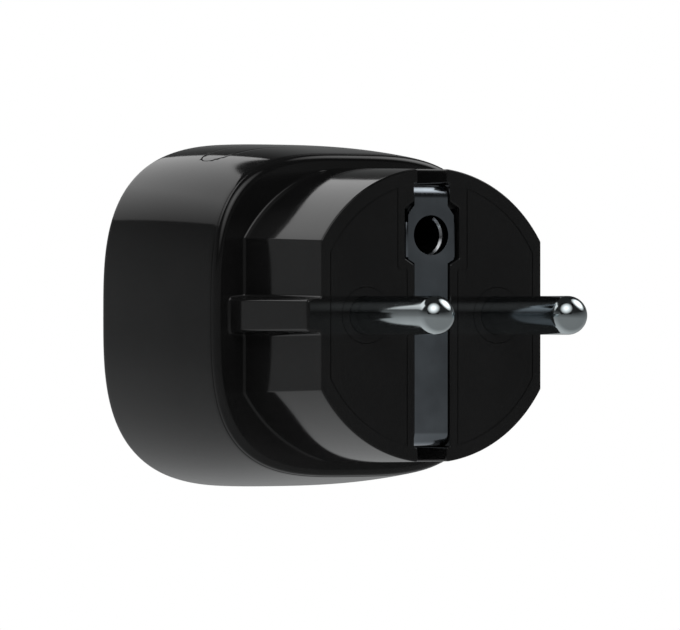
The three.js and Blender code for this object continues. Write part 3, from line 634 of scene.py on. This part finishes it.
def earth_strap():
    """The strip across the end face, bent into the channels, with a hole for an earth pin."""
    half = STRAP_THICKNESS / 2
    face = STRAP_FACE_Y - half
    side = STRAP_REACH - half
    radius = 1.45
    upper = [(STRAP_END_Y, side - 0.5), (STRAP_END_Y + 1.5, side)]
    upper += bend((face - radius, side - radius), radius, 90, 0, 16)
    lower = [(y, -z) for y, z in upper[::-1]]
    strap = strip("earth_contact_strap", [*upper, *lower], STRAP_THICKNESS, STRAP_HALF)
    shoulder = 3.3
    wide = filleted(
        [
            (STRAP_HALF, 6.5, 0.2),
            (shoulder, 7.0, 0.15),
            (shoulder, 12.5, 0.3),
            (STRAP_HALF, 13.7, 0.3),
            (-STRAP_HALF, 13.7, 0.3),
            (-shoulder, 12.5, 0.3),
            (-shoulder, 7.0, 0.15),
            (-STRAP_HALF, 6.5, 0.2),
        ]
    )
    back = STRAP_FACE_Y - STRAP_THICKNESS
    join(strap, loft("wide", [at_level(wide, back), at_level(wide, STRAP_FACE_Y)]))
    join(strap, strap_flanges(back))
    cut(strap, rod("earth_pin_way", EARTH_HOLE, (0, EARTH_Z), -5, 2))
    return smooth(round_edges(strap, 0.07, segments=3, angle=35))


def earth_pin_socket():
    """The slotted tube behind the strap that takes a wall outlet's earth pin."""
    inner, outer, low, high = 2.45, 2.95, cad_mm("earth_pin_socket")[0][1], -2.2
    lead = 0.25
    profile = [
        (inner, low),
        (outer, low),
        (outer, high - 0.05),
        (outer - 0.05, high),
        (inner + lead, high),
        (inner, high - lead),
    ]
    tube = revolve("earth_pin_contact", profile, (0, EARTH_Z), 96, closed=True)
    reach, half = 4, 0.4
    slot_ring = np.array([(-reach, -half), (reach, -half), (reach, half), (-reach, half)])
    turn = math.radians(-65)
    c, s = math.cos(turn), math.sin(turn)
    slot_ring = slot_ring @ np.array([(c, s), (-s, c)]) + [0, EARTH_Z]
    cut(tube, loft("slot", [at_level(slot_ring, -12), at_level(slot_ring, 0.5)]))
    return smooth(round_edges(tube, 0.05, segments=2, angle=60))


# ---- Front socket ----


def socket_recess():
    flat_z = math.sqrt(SOCKET_RADIUS**2 - SOCKET_FLAT**2)
    start = math.atan2(flat_z, SOCKET_FLAT)
    arc = [
        (SOCKET_RADIUS * math.cos(a), SOCKET_RADIUS * math.sin(a))
        for a in np.linspace(start, math.pi - start, 96)
    ]
    upper = [(*arc[0], 0.6), *[(*p, 0) for p in arc[1:-1]], (*arc[-1], 0.6)]
    groove_right = [
        (SOCKET_FLAT, -SOCKET_GROOVE_HALF, 0.35),
        (SOCKET_GROOVE, -SOCKET_GROOVE_HALF, 0.55),
        (SOCKET_GROOVE, SOCKET_GROOVE_HALF, 0.55),
        (SOCKET_FLAT, SOCKET_GROOVE_HALF, 0.35),
    ]
    groove_left = [(-x, -z, radius) for x, z, radius in groove_right]
    lower = [(-x, -z, radius) for x, z, radius in upper]
    return filleted([*groove_right, *upper, *groove_left, *lower])


def socket_cup():
    """The round recess for an appliance's plug, with the shutter's room behind its floor."""
    core_top = cup_low[1]
    step = FRONT_Y + 3.4
    small = 0.3
    outline = circle(CUP_RADIUS, steps=OUTLINE_STEPS)
    core = circle(SOCKET_RADIUS - 0.2, steps=OUTLINE_STEPS)
    cup = loft("socket_insert", [at_level(outline, step), at_level(outline, FLOOR_BACK_Y)])
    join(cup, loft("core", [at_level(core, core_top), at_level(core, step + 1)]))
    recess = socket_recess()
    corner = 0.5
    rings = [
        at_level(grown(recess, small), core_top - 2),
        at_level(grown(recess, small), core_top),
        at_level(recess, core_top + small),
    ]
    rings += [
        at_level(grown(recess, -corner * (1 - cosine)), FLOOR_Y - corner * (1 - sine))
        for sine, cosine in quarter(5)
    ]
    cut(cup, loft("recess", rings))
    for x in (PIN_X, -PIN_X):
        dish = revolve(
            "dish",
            [
                (0, FLOOR_Y - 1),
                (CONTACT_DISH, FLOOR_Y - 1),
                (CONTACT_DISH, FLOOR_Y),
                (CONTACT_HOLE, FLOOR_Y + 0.5),
                (CONTACT_HOLE, FLOOR_BACK_Y + 1),
                (0, FLOOR_BACK_Y + 1),
            ],
            (x, 0),
        )
        cut(cup, dish)
    slot_half, slot_inner, slot_outer = 2.9, 17.1, 18.2
    for side in (1, -1):
        low, high = sorted((side * slot_inner, side * slot_outer))
        slot_low = (-slot_half, FLOOR_Y - 1, low)
        cut(cup, box("clip_slot", slot_low, (slot_half, FLOOR_BACK_Y + 1, high)))
    in_floor, wall_end, hub_end, past_wall = FLOOR_Y + 0.6, -25.3, -26.2, -20
    wall = rod("shutter_wall", SHUTTER_WALL, (0, 0), in_floor, wall_end, 128)
    cut(wall, rod("shutter_room", SHUTTER_ROOM, (0, 0), FLOOR_BACK_Y, past_wall, 128))
    for x in (PIN_X, -PIN_X):
        cut(wall, rod("pin_way", CONTACT_HOLE, (x, 0), FLOOR_Y - 1, past_wall))
    join(cup, wall, rod("hub", HUB_RADIUS, (0, 0), in_floor, hub_end, 48))
    return smooth(cup)


def light_ring():
    """The thin translucent ring round the mouth of the recess."""
    inner, outer, top, low = SOCKET_RADIUS, CUP_RADIUS, ring_low[1], FRONT_Y + 3.2
    small = 0.15
    profile = [(inner, low), (inner, top + small)]
    profile += [
        (inner + small * (1 - cosine), top + small * (1 - sine)) for sine, cosine in quarter(4)[1:]
    ]
    profile += [
        (outer - small * (1 - sine), top + small * (1 - cosine)) for sine, cosine in quarter(4)
    ]
    profile += [(outer, low)]
    return smooth(revolve("status_light_ring", profile, (0, 0), OUTLINE_STEPS, closed=True), 50)


def socket_earth_spring():
    """The springy strip whose two bowed arms touch an appliance plug's earth contacts."""
    half_thickness = 0.225
    reach, bow, bow_y, bow_length = 16.9, 0.62, -38.3, 5.2
    upper = [(-44.6, 18.3), (-44.0, 18.0)]
    upper += [
        (y, reach - bow * math.cos((y - bow_y) / bow_length * math.pi))
        for y in np.linspace(-43.2, -33.4, 18)
    ]
    upper += [(-32.2, 17.62)]
    upper += bend((-25.4, 16.97), 0.68, 90, 0, 8)
    lower = [(y, -z) for y, z in upper[::-1]]
    spring = strip("socket_earth_clip", [*upper, *lower], 2 * half_thickness, 2.4)
    return smooth(round_edges(spring, 0.08, segments=2, angle=60), 35)


# ---- Materials ----


def shader(name):
    material = bpy.data.materials.new(name)
    material.use_nodes = True
    return material, material.node_tree.nodes, material.node_tree.links


def noise(nodes, links, scale, detail=3.0, stretch=(1, 1, 1)):
    """Noise in the object's own millimetres, drawn out along an axis by a small stretch."""
    place = nodes.new("ShaderNodeTexCoord")
    mapping = nodes.new("ShaderNodeMapping")
    mapping.inputs["Scale"].default_value = [value / MM for value in stretch]
    texture = nodes.new("ShaderNodeTexNoise")
    texture.inputs["Scale"].default_value = scale
    texture.inputs["Detail"].default_value = detail
    links.new(place.outputs["Object"], mapping.inputs["Vector"])
    links.new(mapping.outputs["Vector"], texture.inputs["Vector"])
    return texture.outputs["Fac"]


def ramp(nodes, links, source, low, high, start=0.3, end=0.7):
    """Takes a value from start to end to low to high, and holds it at those beyond."""
    spread = nodes.new("ShaderNodeMapRange")
    spread.inputs["From Min"].default_value = start
    spread.inputs["From Max"].default_value = end
    spread.inputs["To Min"].default_value = low
    spread.inputs["To Max"].default_value = high
    links.new(source, spread.inputs["Value"])
    return spread.outputs["Result"]


def colour_between(nodes, links, source, first, second):
    mix = nodes.new("ShaderNodeMix")
    mix.data_type = "RGBA"
    links.new(source, mix.inputs["Factor"])
    mix.inputs["A"].default_value = (*first, 1)
    mix.inputs["B"].default_value = (*second, 1)
    return mix.outputs["Result"]


def bump(nodes, links, height, distance):
    node = nodes.new("ShaderNodeBump")
    node.inputs["Distance"].default_value = distance * MM
    links.new(height, node.inputs["Height"])
    return node.outputs["Normal"]


def plastic(name, colour, roughness, grain, grain_scale=6.0):
    """Moulded plastic: a base colour with faint mottling, uneven gloss and a moulded grain."""
    material, nodes, links = shader(name)
    main = nodes["Principled BSDF"]
    cloud = noise(nodes, links, 0.12, 4)
    lighter = [min(1.0, value * 1.25 + 0.0015) for value in colour]
    mottled = colour_between(nodes, links, ramp(nodes, links, cloud, 0, 1), colour, lighter)
    links.new(mottled, main.inputs["Base Color"])
    gloss = noise(nodes, links, 0.6, 5)
    uneven = ramp(nodes, links, gloss, roughness * 0.85, roughness * 1.15)
    links.new(uneven, main.inputs["Roughness"])
    links.new(bump(nodes, links, noise(nodes, links, grain_scale, 2), grain), main.inputs["Normal"])
    main.inputs["IOR"].default_value = 1.5
    return material


def metal(name, colour, roughness, stretch=(1, 1, 1), lines=0.004, line_scale=3.0, blotch=0.12):
    """Plated or bare metal: fine drawn lines, uneven roughness and a faint change of tone."""
    material, nodes, links = shader(name)
    main = nodes["Principled BSDF"]
    main.inputs["Metallic"].default_value = 1.0
    cloud = noise(nodes, links, 0.18, 3)
    darker = [value * (1 - blotch) for value in colour]
    toned = colour_between(nodes, links, ramp(nodes, links, cloud, 0, 1), colour, darker)
    links.new(toned, main.inputs["Base Color"])
    drawn = noise(nodes, links, line_scale, 4, stretch)
    uneven = ramp(nodes, links, drawn, roughness * 0.75, roughness * 1.3)
    links.new(uneven, main.inputs["Roughness"])
    links.new(bump(nodes, links, drawn, lines), main.inputs["Normal"])
    return material


def opal(name):
    """Milky plastic that lets light through."""
    material, nodes, links = shader(name)
    main = nodes["Principled BSDF"]
    cloud = noise(nodes, links, 0.5, 3)
    darker, lighter = (0.78, 0.80, 0.82), (0.86, 0.87, 0.88)
    milky = colour_between(nodes, links, ramp(nodes, links, cloud, 0, 1), darker, lighter)
    links.new(milky, main.inputs["Base Color"])
    links.new(ramp(nodes, links, cloud, 0.28, 0.4), main.inputs["Roughness"])
    main.inputs["Subsurface Weight"].default_value = 0.4
    main.inputs["Subsurface Radius"].default_value = (0.002, 0.002, 0.002)
    main.inputs["Subsurface Scale"].default_value = 0.5
    return material


def circuit_board(name):
    """Green solder mask with copper tracks showing through as a raised, lighter pattern."""
    material, nodes, links = shader(name)
    main = nodes["Principled BSDF"]
    place = nodes.new("ShaderNodeTexCoord")
    mapping = nodes.new("ShaderNodeMapping")
    mapping.inputs["Scale"].default_value = (1 / MM, 1 / MM, 1 / MM)
    tracks = nodes.new("ShaderNodeTexVoronoi")
    tracks.distance = "CHEBYCHEV"
    tracks.feature = "F1"
    tracks.inputs["Scale"].default_value = 0.45
    links.new(place.outputs["Object"], mapping.inputs["Vector"])
    links.new(mapping.outputs["Vector"], tracks.inputs["Vector"])
    share = ramp(nodes, links, tracks.outputs["Distance"], 0, 1, start=0.35, end=0.38)
    mask, track = (0.012, 0.11, 0.04), (0.03, 0.2, 0.08)
    links.new(colour_between(nodes, links, share, mask, track), main.inputs["Base Color"])
    links.new(bump(nodes, links, share, 0.03), main.inputs["Normal"])
    links.new(ramp(nodes, links, noise(nodes, links, 1.5), 0.3, 0.45), main.inputs["Roughness"])
    return material


GLOSS_BLACK = (0.01, 0.01, 0.0101)
SATIN_BLACK = (0.012, 0.012, 0.013)
looks = {
    "gloss_black": plastic("gloss_black", GLOSS_BLACK, 0.07, grain=0.0006, grain_scale=0.8),
    "cover_black": plastic("cover_black", GLOSS_BLACK, 0.09, grain=0.0006, grain_scale=1.0),
    "socket_black": plastic("socket_black", SATIN_BLACK, 0.32, grain=0.006, grain_scale=7),
    "light_guide": opal("light_guide"),
    "nickel": metal("nickel", (0.68, 0.75, 0.77), 0.11, (1, 0.2, 1), lines=0.0003, line_scale=2),
    "strap_steel": metal(
        "strap_steel",
        (0.36, 0.40, 0.44),
        roughness=0.17,
        stretch=(1, 1, 0.06),
        lines=0.0003,
        line_scale=1.5,
        blotch=0.35,
    ),
    "spring_steel": metal(
        "spring_steel",
        (0.5, 0.51, 0.53),
        roughness=0.22,
        stretch=(1, 0.1, 1),
        lines=0.0004,
        line_scale=2,
    ),
    "brass": metal("brass", (0.72, 0.52, 0.22), 0.28, (1, 0.2, 1), lines=0.002, line_scale=4),
    "copper": metal("copper", (0.72, 0.36, 0.2), 0.3, (1, 0.2, 1), lines=0.002, line_scale=4),
    "iron": metal("iron", (0.3, 0.31, 0.32), 0.42, (1, 0.2, 1), lines=0.003, line_scale=3),
    "board_green": circuit_board("board_green"),
    "relay_blue": plastic("relay_blue", (0.02, 0.07, 0.22), 0.35, grain=0.004),
    "insulator": plastic("insulator", (0.55, 0.5, 0.4), 0.5, grain=0.008),
    "shutter_grey": plastic("shutter_grey", (0.03, 0.03, 0.033), 0.38, grain=0.006),
    "capacitor_black": plastic("capacitor_black", (0.02, 0.02, 0.03), 0.3, grain=0.004),
    "ceramic_blue": plastic("ceramic_blue", (0.04, 0.14, 0.35), 0.35, grain=0.01, grain_scale=2),
    "chip_black": plastic("chip_black", (0.015, 0.015, 0.016), 0.55, grain=0.01),
    "ferrite": plastic("ferrite", (0.05, 0.05, 0.055), 0.6, grain=0.012),
    "lamp": plastic("lamp", (0.8, 0.76, 0.55), 0.25, grain=0.002),
}


# ---- Pieces ----


def install(piece, slot, body, *nodes):
    piece.data.materials.clear()
    piece.data.materials.append(looks[slot])
    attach(piece, body)
    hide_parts(*nodes)
    return piece


install(front_shell(), "gloss_black", "root", "front_shell")
install(rear_cover(), "cover_black", "root", "rear_cover")
install(function_button(), "gloss_black", "button", "function_button")
for side_name, side_x in (("line", PIN_X), ("neutral", -PIN_X)):
    install(plug_pin(f"pin_{side_name}", side_x), "nickel", "root", f"plug_pin_{side_name}")
    collar = pin_collar(f"collar_{side_name}", side_x)
    install(collar, "cover_black", "root", f"pin_collar_{side_name}")
install(earth_strap(), "strap_steel", "root", "earth_strap")
install(earth_pin_socket(), "spring_steel", "root", "earth_pin_socket")
install(socket_cup(), "socket_black", "root", "socket_cup")
install(light_ring(), "light_guide", "root", "light_ring")
install(socket_earth_spring(), "spring_steel", "root", "socket_earth_spring")

for row in frame["record"]["subparts"]:
    node = frame["nodes"][row["node"]]
    if node.hide_render:
        continue
    node.data.materials.clear()
    node.data.materials.append(looks[row["material_slot"]])

# ---- Camera: along the pins and a little to one side, level with the plug ----

CAMERA_TURN = math.radians(29.82)
CAMERA_DISTANCE = 750 * MM
CAMERA_SHIFT = 11.54 * MM
CAMERA_LENS = 318.4
CAMERA_SENSOR = 36
CAMERA_RISE = 0.0005  # puts the picture's frame a little above the plug's middle
back = Vector((math.sin(CAMERA_TURN), math.cos(CAMERA_TURN), 0))
right = Vector((-math.cos(CAMERA_TURN), math.sin(CAMERA_TURN), 0))
camera_data = bpy.data.cameras.new("camera")
camera_data.sensor_width = CAMERA_SENSOR
camera_data.lens = CAMERA_LENS
camera = bpy.data.objects.new("camera", camera_data)
camera.location = back * CAMERA_DISTANCE - right * CAMERA_SHIFT
camera.rotation_mode = "QUATERNION"
camera.rotation_quaternion = (-back).to_track_quat("-Z", "Y")
camera_data.shift_y = CAMERA_RISE
camera_data.clip_start = 0.01
camera_data.clip_end = 20
scene.collection.objects.link(camera)
scene.camera = camera

# ---- Studio ----

STUDIO_CENTRE = Vector((0, -0.02, 0))
FLOOR_Z = -0.06
FLOOR_RADIUS = 0.36
FLOOR_FADE = 0.1  # how far from its centre the floor starts to fade


def emission(name, strengths, places, all_round):
    """A glow that changes between two places, in metres: up a panel, or out from its middle."""
    material, nodes, links = shader(name)
    nodes.remove(nodes["Principled BSDF"])
    glow = nodes.new("ShaderNodeEmission")
    place = nodes.new("ShaderNodeTexCoord")
    if all_round:
        distance = nodes.new("ShaderNodeVectorMath")
        distance.operation = "LENGTH"
        links.new(place.outputs["Object"], distance.inputs[0])
        source = distance.outputs["Value"]
    else:
        axes = nodes.new("ShaderNodeSeparateXYZ")
        links.new(place.outputs["Object"], axes.inputs["Vector"])
        source = axes.outputs["Y"]
    links.new(ramp(nodes, links, source, *strengths, *places), glow.inputs["Strength"])
    links.new(glow.outputs["Emission"], nodes["Material Output"].inputs["Surface"])
    return material


def panel(name, centre, size, strengths, places, all_round=True, roll=0, aside=0):
    """A soft rectangular light that faces the object and isn't seen by the camera.

    roll turns it in its own plane, in degrees, and aside moves it along its width, in metres.
    """
    width, height = size[0] / 2, size[1] / 2
    mesh = bpy.data.meshes.new(name)
    corners = [(-width, -height), (width, -height), (width, height), (-width, height)]
    mesh.from_pydata([(x + aside, y, 0) for x, y in corners], [], [(0, 1, 2, 3)])
    obj = bpy.data.objects.new(name, mesh)
    scene.collection.objects.link(obj)
    obj.location = centre
    obj.rotation_mode = "QUATERNION"
    facing = (STUDIO_CENTRE - Vector(centre)).to_track_quat("Z", "Y")
    obj.rotation_quaternion = facing @ Quaternion((0, 0, 1), math.radians(roll))
    mesh.materials.append(emission(name, strengths, places, all_round))
    obj.visible_camera = False
    obj.visible_shadow = False


def studio_world():
    """White for the camera, and a surround for the pieces to mirror.

    The surround is dim above, and brightest low on the side that the socket faces.
    """
    world = bpy.data.worlds.new("studio")
    scene.world = world
    world.use_nodes = True
    nodes, links = world.node_tree.nodes, world.node_tree.links
    surround = nodes["Background"]
    surround.inputs["Color"].default_value = (0.98, 0.995, 1, 1)
    place = nodes.new("ShaderNodeTexCoord")
    height = nodes.new("ShaderNodeVectorMath")
    height.operation = "DOT_PRODUCT"
    height.inputs[1].default_value = (0, 0.1, 1)
    links.new(place.outputs["Generated"], height.inputs[0])
    axes = nodes.new("ShaderNodeSeparateXYZ")
    links.new(place.outputs["Generated"], axes.inputs["Vector"])
    glow = nodes.new("ShaderNodeMath")
    glow.operation = "MULTIPLY_ADD"
    links.new(ramp(nodes, links, axes.outputs["Y"], 0.58, 0, start=-1, end=0), glow.inputs[0])
    links.new(ramp(nodes, links, axes.outputs["Z"], 1, 0, start=-1, end=0), glow.inputs[1])
    all_round = ramp(nodes, links, height.outputs["Value"], 0.225, 0.02, start=-0.2, end=0.38)
    links.new(all_round, glow.inputs[2])
    links.new(glow.outputs["Value"], surround.inputs["Strength"])
    seen = nodes.new("ShaderNodeBackground")
    seen.inputs["Color"].default_value = (1, 1, 1, 1)
    path = nodes.new("ShaderNodeLightPath")
    mix = nodes.new("ShaderNodeMixShader")
    links.new(path.outputs["Is Camera Ray"], mix.inputs["Fac"])
    links.new(surround.outputs["Background"], mix.inputs[1])
    links.new(seen.outputs["Background"], mix.inputs[2])
    links.new(mix.outputs["Shader"], nodes["World Output"].inputs["Surface"])


def floor():
    """A pale round floor that fades out at its edge. Glossy pieces mirror the surround instead."""
    angles = np.arange(ROUND_STEPS) / ROUND_STEPS * 2 * math.pi
    ring = [(FLOOR_RADIUS * math.cos(a), FLOOR_RADIUS * math.sin(a), 0) for a in angles]
    mesh = bpy.data.meshes.new("floor")
    mesh.from_pydata(ring, [], [tuple(range(ROUND_STEPS))])
    obj = bpy.data.objects.new("floor", mesh)
    scene.collection.objects.link(obj)
    obj.location = STUDIO_CENTRE + Vector((0, 0, FLOOR_Z))
    material, nodes, links = shader("floor")
    main = nodes["Principled BSDF"]
    main.inputs["Base Color"].default_value = (0.9, 0.9, 0.9, 1)
    main.inputs["Roughness"].default_value = 0.9
    place = nodes.new("ShaderNodeTexCoord")
    distance = nodes.new("ShaderNodeVectorMath")
    distance.operation = "LENGTH"
    links.new(place.outputs["Object"], distance.inputs[0])
    fade = nodes.new("ShaderNodeMapRange")
    fade.interpolation_type = "SMOOTHSTEP"
    fade.inputs["From Min"].default_value = FLOOR_FADE
    fade.inputs["From Max"].default_value = FLOOR_RADIUS
    fade.inputs["To Min"].default_value = 1
    fade.inputs["To Max"].default_value = 0
    links.new(distance.outputs["Value"], fade.inputs["Value"])
    links.new(fade.outputs["Result"], main.inputs["Alpha"])
    mesh.materials.append(material)
    obj.visible_glossy = False


studio_world()
floor()
panel(
    "key_panel",
    centre=(0.17, -0.62, 0.36),
    size=(1.06, 0.368),
    strengths=(0.36, 0.94),
    places=(-0.184, 0),
    all_round=False,
    roll=-15.7,
    aside=-0.08,
)
panel(
    "side_panel",
    centre=(-0.52, 0.09, 0.53),
    size=(0.84, 0.84),
    strengths=(2.6, 0),
    places=(0.1, 0.42),
)
panel(
    "front_panel",
    centre=(0.44, 0.49, 0.61),
    size=(1.3, 1.3),
    strengths=(1.9, 0),
    places=(0.05, 0.62),
)

scene.view_settings.view_transform = "Standard"
scene.view_settings.look = "None"
